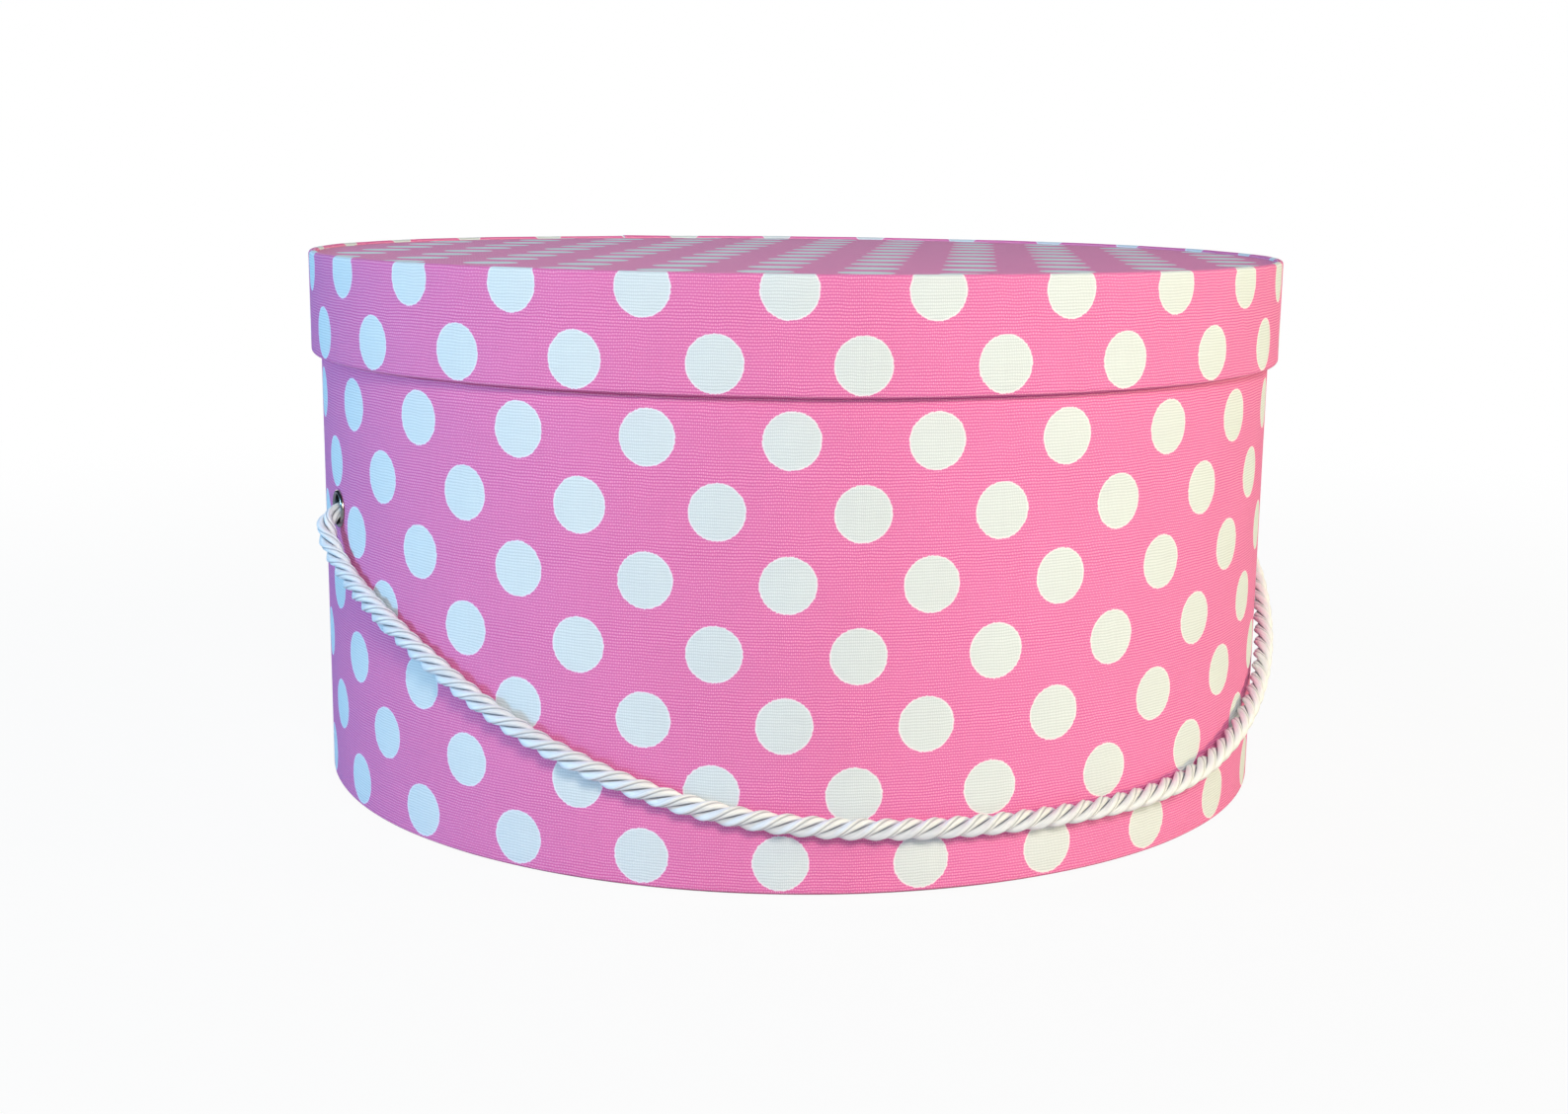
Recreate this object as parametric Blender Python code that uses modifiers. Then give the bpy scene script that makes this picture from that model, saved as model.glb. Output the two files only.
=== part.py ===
"""A round fabric-covered hat box: a board box, a lift-off board lid and a rope handle.

Metres, +Z up. The origin is the middle of the underside. The handle's two eyelets are at -X and
+X, and the handle hangs round the front of the wall, which is -Y.
"""
import math

import bmesh
import bpy
import numpy as np
from mathutils import Vector

# Driving dimensions
BODY_RADIUS = 0.1996  # outside of the cloth on the wall
LID_RADIUS = 0.2036  # outside of the cloth on the lid's rim
HEIGHT = 0.218  # floor to the top of the lid's lip
RIM_DEPTH = 0.0413  # how far the lid's rim comes down
EYELET_HEIGHT = 0.1183
CORD_RADIUS = 0.004

# Sheet thicknesses
CLOTH = 0.0006
WALL_BOARD = 0.0022
RIM_BOARD = 0.0015
BASE_BOARD = 0.0025
TOP_BOARD = 0.002
LINING = 0.0004
RIM_LINING = 0.0003
TAPE = 0.0003
GAP = 0.0003  # between two sheets that are glued together
WASHER_GAP = 0.00085  # from the lining to the washer, so that its edge clears the curved lining
CORD_GAP = 0.00035  # from the eyelet's flare to the knot

# Turned-in cloth and set-backs
BASE_TURN_IN = 0.015
WALL_TURN_IN = 0.018
RIM_TURN_IN = 0.012
TOP_TURN_IN = 0.012
LIP_HEIGHT = 0.0011  # the lip stands this far above the cloth on the lid's top
LINING_SET_BACK = 0.006  # the wall's lining stops this far below the wall's edge

# Eyelets
BORE_RADIUS = 0.0057
BARREL_WALL = 0.0005
FLANGE_RADIUS = 0.0075
FLANGE_HEIGHT = 0.001
WASHER_RADIUS = 0.009
WASHER = 0.0005
FLARE_RADIUS = 0.0075
FLARE = 0.0006
BEVEL = 0.0004  # across the eyelet's rounded edges

# Knots and tails inside the box
KNOT_LENGTH = 0.022
KNOT_RADIUS = 0.012
WRAP_RADIUS = 0.0044
WRAP_LENGTH = 0.012

SEGMENTS = 64
SMALL_SEGMENTS = 32
SEAM_SEGMENTS = 2  # the gummed tapes cover this many of the 64 sides

# Places worked out from those
RIM_BOTTOM = HEIGHT - RIM_DEPTH
TOP_CLOTH_TOP = HEIGHT - LIP_HEIGHT
TOP_TURN_IN_TOP = TOP_CLOTH_TOP - CLOTH - GAP
TOP_BOARD_TOP = TOP_TURN_IN_TOP - CLOTH - GAP
TOP_BOARD_BOTTOM = TOP_BOARD_TOP - TOP_BOARD
TOP_LINING_BOTTOM = TOP_BOARD_BOTTOM - GAP - RIM_LINING
WALL_TOP = TOP_LINING_BOTTOM - GAP
BASE_BOTTOM = CLOTH + GAP + CLOTH + GAP
BASE_TOP = BASE_BOTTOM + BASE_BOARD
FLOOR_BOTTOM = BASE_TOP + GAP
BOARD_OUTER = BODY_RADIUS - CLOTH - GAP
BOARD_INNER = BOARD_OUTER - WALL_BOARD
FOLD_OUTER = BOARD_INNER - GAP
LINING_OUTER = FOLD_OUTER - CLOTH - GAP
LINING_INNER = LINING_OUTER - LINING
RIM_BOARD_OUTER = LID_RADIUS - CLOTH - GAP
RIM_BOARD_INNER = RIM_BOARD_OUTER - RIM_BOARD
RIM_FOLD_OUTER = RIM_BOARD_INNER - GAP
RIM_LINING_OUTER = RIM_FOLD_OUTER - TAPE - GAP
FLANGE_SEAT = BODY_RADIUS + GAP
WASHER_SEAT = LINING_INNER - WASHER_GAP
FLARE_SEAT = WASHER_SEAT - WASHER - GAP
CORD_END = FLARE_SEAT - FLARE - CORD_GAP
KNOT_START = CORD_END - GAP
TAIL_START = KNOT_START - KNOT_LENGTH - GAP

# The handle's route from the left eyelet round the front to the right one: the angle from the
# front in degrees, the distance from the box's axis in metres, and the height in metres
HANDLE_ROUTE = [
    (-90.0, CORD_END, EYELET_HEIGHT),
    (-90.0, 0.1965, 0.1180),
    (-90.0, 0.2006, 0.1171),
    (-89.8, 0.2040, 0.1151),
    (-89.3, 0.2057, 0.1116),
    (-88.2, 0.2058, 0.1070),
    (-85.0, 0.2047, 0.0990),
    (-79.5, 0.2042, 0.0910),
    (-72.0, 0.2042, 0.0813),
    (-64.0, 0.2042, 0.0693),
    (-56.0, 0.2042, 0.0568),
    (-48.0, 0.2042, 0.0460),
    (-40.0, 0.2042, 0.0374),
    (-32.0, 0.2042, 0.0312),
    (-24.0, 0.2042, 0.0277),
    (-16.0, 0.2042, 0.0261),
    (-8.0, 0.2042, 0.0254),
    (0.0, 0.2042, 0.0252),
    (8.0, 0.2042, 0.0251),
    (15.0, 0.2042, 0.0255),
    (21.0, 0.2042, 0.0268),
    (27.0, 0.2042, 0.0299),
    (33.0, 0.2042, 0.0349),
    (39.0, 0.2042, 0.0415),
    (45.0, 0.2042, 0.0490),
    (51.0, 0.2042, 0.0575),
    (57.0, 0.2042, 0.0672),
    (63.0, 0.2042, 0.0775),
    (70.0, 0.2042, 0.0878),
    (78.0, 0.2044, 0.0972),
    (84.5, 0.2049, 0.1035),
    (88.2, 0.2058, 0.1080),
    (89.4, 0.2057, 0.1117),
    (89.8, 0.2040, 0.1151),
    (90.0, 0.2006, 0.1171),
    (90.0, 0.1965, 0.1180),
    (90.0, CORD_END, EYELET_HEIGHT),
]
# A tail's route in the plane y = 0: the distance from the box's axis and the height
TAIL_ROUTE = [
    (TAIL_START, EYELET_HEIGHT),
    (0.1670, 0.1182),
    (0.1634, 0.1170),
    (0.1602, 0.1139),
    (0.1586, 0.1092),
    (0.1580, 0.1027),
    (0.1580, 0.0907),
]
FINE_STEP = 0.002  # point spacing where the handle turns out of an eyelet
FINE_REACH = 0.035
COARSE_STEP = 0.018

# Colours, roughness and metallic value of each finish
FINISHES = {
    "dotted_canvas": ((0.85, 0.16, 0.42), 0.85, 0.0),
    "grey_board": ((0.42, 0.38, 0.33), 0.9, 0.0),
    "ivory_lining": ((0.86, 0.83, 0.76), 0.7, 0.0),
    "gummed_tape": ((0.55, 0.40, 0.24), 0.6, 0.0),
    "nickel": ((0.72, 0.71, 0.68), 0.25, 1.0),
    "satin_cord": ((0.88, 0.88, 0.90), 0.45, 0.0),
    "cord_wrap": ((0.90, 0.90, 0.88), 0.3, 0.0),
}


def clear_scene():
    """Remove the objects that a new file starts with."""
    for obj in list(bpy.data.objects):
        bpy.data.objects.remove(obj)


def collection(name):
    """A new collection in the scene."""
    made = bpy.data.collections.new(name)
    bpy.context.scene.collection.children.link(made)
    return made


def finish(name, part):
    """The part's own material, in one of the finishes."""
    colour, roughness, metallic = FINISHES[name]
    material = bpy.data.materials.new(part)
    material.use_nodes = True
    shader = material.node_tree.nodes["Principled BSDF"]
    shader.inputs["Base Color"].default_value = (*colour, 1.0)
    shader.inputs["Roughness"].default_value = roughness
    shader.inputs["Metallic"].default_value = metallic
    return material


def add(name, data, look, parent=None, location=(0, 0, 0)):
    """Put a mesh or curve into the hat box under its own name, at a place in the world."""
    obj = bpy.data.objects.new(name, data)
    data.materials.append(finish(look, name))
    HAT_BOX.objects.link(obj)
    obj.location = location
    if parent:
        obj.parent = parent
        obj.location = Vector(location) - parent.location
    return obj


def pivot(name, location):
    """An empty on a joint's axis, for the moving pieces to hang from."""
    empty = bpy.data.objects.new(name, None)
    empty.location = location
    HAT_BOX.objects.link(empty)
    return empty


def profile_mesh(name, profile, closed=True):
    """A line of (radius, height) points at +X, as a mesh."""
    mesh = bpy.data.meshes.new(name)
    shape = bmesh.new()
    points = [shape.verts.new((radius, 0, height)) for radius, height in profile]
    for here, after in zip(points, points[1:]):
        shape.edges.new((here, after))
    if closed:
        shape.edges.new((points[-1], points[0]))
    shape.to_mesh(mesh)
    shape.free()
    return mesh


def turn(obj, steps, angle=math.tau):
    """Turn the object's profile about its Z axis."""
    screw = obj.modifiers.new("turn", "SCREW")
    screw.angle = angle
    screw.steps = steps
    screw.render_steps = steps
    screw.use_merge_vertices = angle == math.tau
    screw.merge_threshold = 0.00001
    screw.use_smooth_shade = True


def turned(name, profile, look, parent=None, steps=SEGMENTS, location=(0, 0, 0)):
    """A turned piece. The profile is closed and runs down its outer side first."""
    local = [(r, z - location[2]) for r, z in profile]
    obj = add(name, profile_mesh(name, local), look, parent, location)
    turn(obj, steps)
    return obj


def ring(outer, inner, bottom, top):
    """The profile of a plain ring or tube."""
    return [(outer, top), (outer, bottom), (inner, bottom), (inner, top)]


def disc(name, radius, bottom, top, look, parent=None):
    """A flat round sheet, centred on the box's axis."""
    mesh = bpy.data.meshes.new(name)
    shape = bmesh.new()
    bmesh.ops.create_cone(
        shape, cap_ends=True, segments=SEGMENTS, radius1=radius, radius2=radius, depth=top - bottom
    )
    shape.to_mesh(mesh)
    shape.free()
    return add(name, mesh, look, parent, (0, 0, (bottom + top) / 2))


def seam_tape(name, outer, bottom, top, parent=None):
    """A strip of gummed tape over the butt joint of a board ring, at the back of the box."""
    step = math.tau / SEGMENTS
    obj = add(name, profile_mesh(name, [(outer, top), (outer, bottom)], False), "gummed_tape", parent)
    if parent:
        obj.location = (0, 0, -parent.location.z)
    turn(obj, SEAM_SEGMENTS, SEAM_SEGMENTS * step)
    obj.rotation_euler.z = math.pi / 2 - SEAM_SEGMENTS * step / 2
    thickness = obj.modifiers.new("thickness", "SOLIDIFY")
    thickness.thickness = TAPE
    thickness.offset = -1
    return obj


def spline_through(points):
    """A natural cubic spline through the points, as a list of closely spaced points."""
    p = np.array(points, float)
    gaps = np.linalg.norm(np.diff(p, axis=0), axis=1)
    along = np.concatenate([[0], np.cumsum(gaps)])
    count = len(p)
    system = np.eye(count)
    right = np.zeros((count, 3))
    for i in range(1, count - 1):
        before, after = gaps[i - 1], gaps[i]
        system[i, i - 1 : i + 2] = before, 2 * (before + after), after
        right[i] = 6 * ((p[i + 1] - p[i]) / after - (p[i] - p[i - 1]) / before)
    curve = np.linalg.solve(system, right)
    out = []
    for i in range(count - 1):
        a, b, h = p[i], p[i + 1], gaps[i]
        slope = (b - a) / h - h * (2 * curve[i] + curve[i + 1]) / 6
        for t in np.linspace(0, h, 24, endpoint=False):
            third = (curve[i + 1] - curve[i]) / (6 * h)
            out.append(a + slope * t + curve[i] / 2 * t**2 + third * t**3)
    out.append(p[-1])
    return np.array(out)


def spaced(line, places):
    """The points of a line at the given distances along it."""
    along = np.concatenate([[0], np.cumsum(np.linalg.norm(np.diff(line, axis=0), axis=1))])
    return [Vector([np.interp(s, along, line[:, k]) for k in range(3)]) for s in places]


def line_length(line):
    """How long a line of points is."""
    return float(np.linalg.norm(np.diff(line, axis=0), axis=1).sum())


def cord_tube(name, points, parent):
    """A plain tube along the points, with closed ends."""
    curve = bpy.data.curves.new(name, "CURVE")
    curve.dimensions = "3D"
    curve.bevel_depth = CORD_RADIUS
    curve.bevel_resolution = 2
    curve.use_fill_caps = True
    spline = curve.splines.new("POLY")
    spline.points.add(len(points) - 1)
    for point, place in zip(spline.points, points):
        point.co = (*(place - parent.location), 1.0)
    obj = add(name, curve, "satin_cord", parent, parent.location)
    return obj


def build_box():
    """The box: board, cloth outside, lining inside, and a paper sheet under the base."""
    disc("base_cover", BOARD_INNER, 0.0, CLOTH, "ivory_lining")
    disc("base_board", FOLD_OUTER, BASE_BOTTOM, BASE_TOP, "grey_board")
    board_top = WALL_TOP - CLOTH - GAP
    wall = turned("wall_board", ring(BOARD_OUTER, BOARD_INNER, BASE_BOTTOM, board_top), "grey_board")

    hem_bottom = CLOTH + GAP
    hem_top = hem_bottom + CLOTH
    inside = BODY_RADIUS - CLOTH
    fold_bottom = WALL_TOP - WALL_TURN_IN
    fold_inner = FOLD_OUTER - CLOTH
    cloth = turned(
        "body_fabric",
        [
            (BODY_RADIUS, WALL_TOP),
            (BODY_RADIUS, hem_bottom),
            (BODY_RADIUS - BASE_TURN_IN, hem_bottom),
            (BODY_RADIUS - BASE_TURN_IN, hem_top),
            (inside, hem_top),
            (inside, WALL_TOP - CLOTH),
            (FOLD_OUTER, WALL_TOP - CLOTH),
            (FOLD_OUTER, fold_bottom),
            (fold_inner, fold_bottom),
            (fold_inner, WALL_TOP),
        ],
        "dotted_canvas",
    )
    seam_tape("wall_seam_tape", FOLD_OUTER, FLOOR_BOTTOM, fold_bottom - GAP)
    lining_top = WALL_TOP - LINING_SET_BACK
    lining = turned(
        "wall_lining", ring(LINING_OUTER, LINING_INNER, FLOOR_BOTTOM, lining_top), "ivory_lining"
    )
    disc("base_lining", LINING_INNER - GAP, FLOOR_BOTTOM, FLOOR_BOTTOM + LINING, "ivory_lining")
    punch_eyelet_holes([wall, cloth, lining])


def punch_eyelet_holes(sheets):
    """One round punch through both sides of the wall, at the eyelets' height."""
    mesh = bpy.data.meshes.new("eyelet_punch")
    shape = bmesh.new()
    hole = BORE_RADIUS + BARREL_WALL + GAP
    bmesh.ops.create_cone(
        shape,
        cap_ends=True,
        segments=SMALL_SEGMENTS,
        radius1=hole,
        radius2=hole,
        depth=2 * LID_RADIUS,
    )
    shape.to_mesh(mesh)
    shape.free()
    punch = bpy.data.objects.new("eyelet_punch", mesh)
    CUTTERS.objects.link(punch)
    punch.location.z = EYELET_HEIGHT
    punch.rotation_euler.y = math.pi / 2
    punch.hide_render = True
    punch.display_type = "WIRE"
    for sheet in sheets:
        cut = sheet.modifiers.new("eyelet_holes", "BOOLEAN")
        cut.operation = "DIFFERENCE"
        cut.solver = "EXACT"
        cut.object = punch


def build_eyelet(side, name):
    """A rolled nickel eyelet through the wall, and the washer that it is set over inside."""
    barrel = BORE_RADIUS + BARREL_WALL
    crest = FLANGE_SEAT + FLANGE_HEIGHT
    foot = FLARE_SEAT - FLARE
    eyelet = turned(
        f"eyelet_{name}",
        [
            (BORE_RADIUS + BEVEL, crest),
            (FLANGE_RADIUS - BEVEL, crest),
            (FLANGE_RADIUS, crest - BEVEL),
            (FLANGE_RADIUS, FLANGE_SEAT),
            (barrel, FLANGE_SEAT),
            (barrel, FLARE_SEAT),
            (FLARE_RADIUS, FLARE_SEAT),
            (FLARE_RADIUS - BEVEL, foot),
            (BORE_RADIUS + BEVEL, foot),
            (BORE_RADIUS, foot + BEVEL),
            (BORE_RADIUS, crest - BEVEL),
        ],
        "nickel",
        steps=SMALL_SEGMENTS,
    )
    washer = turned(
        f"eyelet_washer_{name}",
        ring(WASHER_RADIUS, barrel + GAP, WASHER_SEAT - WASHER, WASHER_SEAT),
        "nickel",
        steps=SMALL_SEGMENTS,
    )
    for piece in (eyelet, washer):
        piece.location.z = EYELET_HEIGHT
        piece.rotation_euler.y = side * math.pi / 2


def build_lid():
    """The lid: a rim and a top of board, cloth outside, lining inside."""
    lid = pivot("lid_lift", (0, 0, RIM_BOTTOM))
    rim_bottom = RIM_BOTTOM + CLOTH + GAP
    rim_top = HEIGHT - CLOTH - GAP
    turned("lid_rim_board", ring(RIM_BOARD_OUTER, RIM_BOARD_INNER, rim_bottom, rim_top), "grey_board", lid)
    disc("lid_top_board", RIM_FOLD_OUTER, TOP_BOARD_BOTTOM, TOP_BOARD_TOP, "grey_board", lid)

    inside = LID_RADIUS - CLOTH
    fold_inner = RIM_FOLD_OUTER - CLOTH
    fold_top = RIM_BOTTOM + RIM_TURN_IN
    turned(
        "lid_rim_fabric",
        [
            (LID_RADIUS, HEIGHT),
            (LID_RADIUS, RIM_BOTTOM),
            (fold_inner, RIM_BOTTOM),
            (fold_inner, fold_top),
            (RIM_FOLD_OUTER, fold_top),
            (RIM_FOLD_OUTER, RIM_BOTTOM + CLOTH),
            (inside, RIM_BOTTOM + CLOTH),
            (inside, HEIGHT - CLOTH),
            (RIM_FOLD_OUTER, HEIGHT - CLOTH),
            (RIM_FOLD_OUTER, TOP_TURN_IN_TOP - CLOTH),
            (RIM_FOLD_OUTER - TOP_TURN_IN, TOP_TURN_IN_TOP - CLOTH),
            (RIM_FOLD_OUTER - TOP_TURN_IN, TOP_TURN_IN_TOP),
            (fold_inner, TOP_TURN_IN_TOP),
            (fold_inner, HEIGHT),
        ],
        "dotted_canvas",
        lid,
    )
    disc("lid_top_fabric", fold_inner - GAP, TOP_CLOTH_TOP - CLOTH, TOP_CLOTH_TOP, "dotted_canvas", lid)

    lining_top = TOP_BOARD_BOTTOM - GAP
    lining_inner = RIM_LINING_OUTER - RIM_LINING
    seam_tape("rim_seam_tape", RIM_FOLD_OUTER, fold_top + GAP, lining_top, lid)
    rim_lining = ring(RIM_LINING_OUTER, lining_inner, fold_top + GAP, lining_top)
    turned("lid_rim_lining", rim_lining, "ivory_lining", lid)
    disc("lid_top_lining", lining_inner - GAP, TOP_LINING_BOTTOM, lining_top, "ivory_lining", lid)


def build_handle():
    """The rope handle, with a knot, a tail and a bound end inside the box on each side."""
    hinge = pivot("handle_swing", (0, 0, EYELET_HEIGHT))
    route = [
        (r * math.sin(math.radians(a)), -r * math.cos(math.radians(a)), z) for a, r, z in HANDLE_ROUTE
    ]
    line = spline_through(route)
    length = line_length(line)
    middle = length - 2 * FINE_REACH
    places = [
        *np.linspace(0, FINE_REACH, round(FINE_REACH / FINE_STEP), endpoint=False),
        *(FINE_REACH + np.linspace(0, middle, round(middle / COARSE_STEP), endpoint=False)),
        *(length - FINE_REACH + np.linspace(0, FINE_REACH, round(FINE_REACH / FINE_STEP) + 1)),
    ]
    cord_tube("handle_cord", spaced(line, places), hinge)
    print(f"handle: {length:.4f} m between its knots, {len(places)} points")
    for side, name in ((-1, "left"), (1, "right")):
        build_cord_end(side, name, hinge)


def build_cord_end(side, name, hinge):
    """The stopper knot, the tail below it and the binding on the tail's end."""
    mesh = bpy.data.meshes.new(f"knot_{name}")
    shape = bmesh.new()
    bmesh.ops.create_uvsphere(shape, u_segments=20, v_segments=12, radius=1.0)
    bmesh.ops.scale(shape, vec=(KNOT_RADIUS, KNOT_RADIUS, KNOT_LENGTH / 2), verts=shape.verts)
    shape.to_mesh(mesh)
    shape.free()
    middle = side * (KNOT_START - KNOT_LENGTH / 2)
    knot = add(f"knot_{name}", mesh, "satin_cord", hinge, (middle, 0, EYELET_HEIGHT))
    knot.rotation_euler.y = math.pi / 2

    line = spline_through([(side * x, 0, z) for x, z in TAIL_ROUTE])
    steps = round(line_length(line) / FINE_STEP)
    cord_tube(f"cord_tail_{name}", spaced(line, np.linspace(0, line_length(line), steps + 1)), hinge)

    end_x, end_z = TAIL_ROUTE[-1]
    mesh = bpy.data.meshes.new(f"cord_wrap_{name}")
    shape = bmesh.new()
    bmesh.ops.create_cone(
        shape,
        cap_ends=True,
        segments=16,
        radius1=WRAP_RADIUS,
        radius2=WRAP_RADIUS,
        depth=WRAP_LENGTH,
    )
    shape.to_mesh(mesh)
    shape.free()
    wrap_z = end_z - GAP - WRAP_LENGTH / 2
    add(f"cord_wrap_{name}", mesh, "cord_wrap", hinge, (side * end_x, 0, wrap_z))


def shade_round():
    """Smooth shading on the round pieces, with their edges kept sharp."""
    for obj in HAT_BOX.objects:
        if obj.type == "MESH" and obj.data.polygons:
            obj.data.shade_smooth()
            obj.data.set_sharp_from_angle(angle=math.radians(35))


clear_scene()
HAT_BOX = collection("hat_box")
CUTTERS = collection("cutters")
build_box()
for eyelet_side, side_name in ((-1, "left"), (1, "right")):
    build_eyelet(eyelet_side, side_name)
build_lid()
build_handle()
shade_round()
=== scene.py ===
# %% [markdown]
# # A round hat box in printed canvas
#
# A hat box is a drum of grey board covered in cloth, with a lid that slips over it and a rope handle
# that runs from one eyelet round the front to the other. The CAD model already holds every board,
# sheet and eyelet at its real place, so this lesson only adds the looks: smooth cloth shells with
# real folds, a rope of three twisted strands, and materials for everything that shows.
#
# Places and sizes come from the frame, so nothing here has to be fitted by eye.

# %% Load the frame
import math

import bmesh
import bpy
import numpy as np
from mathutils import Matrix, Vector


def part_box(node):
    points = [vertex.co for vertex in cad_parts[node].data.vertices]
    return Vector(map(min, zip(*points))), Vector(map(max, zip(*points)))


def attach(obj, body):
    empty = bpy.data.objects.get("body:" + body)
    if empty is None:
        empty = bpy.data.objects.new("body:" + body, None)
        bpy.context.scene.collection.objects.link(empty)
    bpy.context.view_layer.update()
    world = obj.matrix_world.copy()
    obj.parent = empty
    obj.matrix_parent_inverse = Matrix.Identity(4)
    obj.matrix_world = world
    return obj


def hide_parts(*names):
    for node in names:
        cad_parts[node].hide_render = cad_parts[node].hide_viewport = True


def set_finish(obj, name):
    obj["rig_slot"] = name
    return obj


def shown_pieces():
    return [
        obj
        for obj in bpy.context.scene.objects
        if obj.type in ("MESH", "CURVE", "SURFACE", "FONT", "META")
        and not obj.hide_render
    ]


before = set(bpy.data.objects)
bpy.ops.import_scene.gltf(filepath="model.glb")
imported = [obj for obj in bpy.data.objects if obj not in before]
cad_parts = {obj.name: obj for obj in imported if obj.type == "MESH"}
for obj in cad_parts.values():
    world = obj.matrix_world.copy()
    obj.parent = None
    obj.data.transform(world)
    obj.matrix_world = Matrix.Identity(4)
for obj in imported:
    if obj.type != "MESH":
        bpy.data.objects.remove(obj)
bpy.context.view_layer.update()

# %% [markdown]
# ## Sizes
#
# The board and cloth are thin sheets stacked a fraction of a millimetre apart. The outside faces are
# read from the CAD nodes' boxes, and only the thickness of the sheets is repeated here.

# %% Sizes of the box and the lid
CLOTH = 0.0006  # thickness of the canvas
GAP = 0.0003  # between one sheet and the next
body_low, body_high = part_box("body_fabric")
rim_low, rim_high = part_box("lid_rim_fabric")
top_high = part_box("lid_top_fabric")[1]
knot_low, knot_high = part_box("knot_right")
wrap_low, wrap_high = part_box("cord_wrap_right")
eyelet_low, eyelet_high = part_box("eyelet_right")
BODY_RADIUS, BODY_BOTTOM, BODY_TOP = body_high.x, body_low.z, body_high.z
LID_RADIUS, LID_BOTTOM, LID_TOP = rim_high.x, rim_low.z, rim_high.z
TOP_CLOTH_RADIUS, TOP_CLOTH_Z = top_high.x, top_high.z
WALL_FOLD_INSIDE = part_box("base_board")[1].x - CLOTH
RIM_FOLD_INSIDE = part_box("lid_top_board")[1].x - CLOTH
EYELET_Z = knot_low.z / 2 + knot_high.z / 2
EYELET_OUTSIDE = eyelet_high.x
KNOT_START = knot_high.x
ROPE_DIAMETER = 0.008
print(f"box {2 * BODY_RADIUS:.4f} m across, lid {2 * LID_RADIUS:.4f} m, height {LID_TOP:.4f} m")

# %% [markdown]
# ## Camera
#
# The camera stands a little to the left of the handle's middle and slightly above the box, so that
# the lid's top shows as a thin ellipse. An angle round the box, a distance and a height say where it
# stands, and three more angles say how far it is turned aside, looks down and is tilted. They are
# easier to adjust one by one than the numbers of a matrix.

# %% Camera
CAMERA_ROUND = math.radians(-26.1)
CAMERA_DISTANCE = 0.8757
CAMERA_HEIGHT = 0.2504
CAMERA_TURN = math.radians(0.228)
CAMERA_DOWN = math.radians(10.744)
CAMERA_TILT = math.radians(0.643)
CAMERA_LENS = 46.36  # mm, over a sensor 36 mm wide


def in_scene(name, data):
    """A new object that is part of the scene."""
    obj = bpy.data.objects.new(name, data)
    bpy.context.scene.collection.objects.link(obj)
    return obj


camera_data = bpy.data.cameras.new("camera")
camera_data.lens = CAMERA_LENS
camera_data.sensor_width = 36.0
camera = in_scene("camera", camera_data)
stand = Vector((
    CAMERA_DISTANCE * math.sin(CAMERA_ROUND),
    -CAMERA_DISTANCE * math.cos(CAMERA_ROUND),
    CAMERA_HEIGHT,
))
camera.matrix_world = (
    Matrix.Translation(stand)
    @ Matrix.Rotation(CAMERA_ROUND + CAMERA_TURN, 4, "Z")
    @ Matrix.Rotation(math.pi / 2 - CAMERA_DOWN, 4, "X")
    @ Matrix.Rotation(CAMERA_TILT, 4, "Z")
)
bpy.context.scene.camera = camera
print(f"camera at {stand.x:.3f}, {stand.y:.3f}, {stand.z:.3f}")

# %% [markdown]
# ## Helpers for meshes
#
# Every cloth, lining and eyelet is a section swept round an axis, and every stretch of rope is a
# section swept along a line. Modifiers could sweep them too, but waves, seams and twist are easier
# to give to points that are worked out one by one. One helper makes an object from such points and
# faces. It also takes the place of each face corner on the flat cloth, so that prints and weaves
# lie in the cloth and not in space. A second helper hangs the object on the body of the CAD nodes
# that it stands for, names its finish and hides those nodes.

# %% Object from points and faces
SHARP = math.radians(50)  # an edge with a steeper turn than this is not smoothed over


def piece(name, points, faces, uvs=None):
    """A smooth-shaded object. uvs has one (across, up) pair in metres for each face corner."""
    mesh = bpy.data.meshes.new(name)
    mesh.from_pydata([tuple(p) for p in points], [], [tuple(f) for f in faces])
    if uvs is not None:
        layer = mesh.uv_layers.new(name="cloth")
        layer.data.foreach_set("uv", np.asarray(uvs, np.float32).ravel())
    mesh.update()
    mesh.shade_smooth()
    mesh.set_sharp_from_angle(angle=SHARP)
    return in_scene(name, mesh)


def stands_for(obj, body, slot, *nodes):
    """Put a piece on its body, name its finish and hide the CAD nodes that it stands for."""
    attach(obj, body)
    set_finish(obj, slot)
    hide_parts(*nodes)
    print(f"{obj.name}: {len(obj.data.polygons)} faces on {body}, for {', '.join(nodes)}")
    return obj


print("an edge stays sharp above", round(math.degrees(SHARP)), "degrees")

# %% [markdown]
# The rope is drawn through a handful of points. A natural cubic spline bends no more than it must
# between them, as a springy rod would, and it is then cut into even steps.

# %% Smooth line through points
SPLINE_STEPS = 24  # between two points, before the line is cut into even steps


def lengths_along(points):
    """The distance along a line of points, from its start to each point."""
    steps = np.linalg.norm(np.diff(points, axis=0), axis=1)
    return np.concatenate([[0.0], np.cumsum(steps)])


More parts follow.
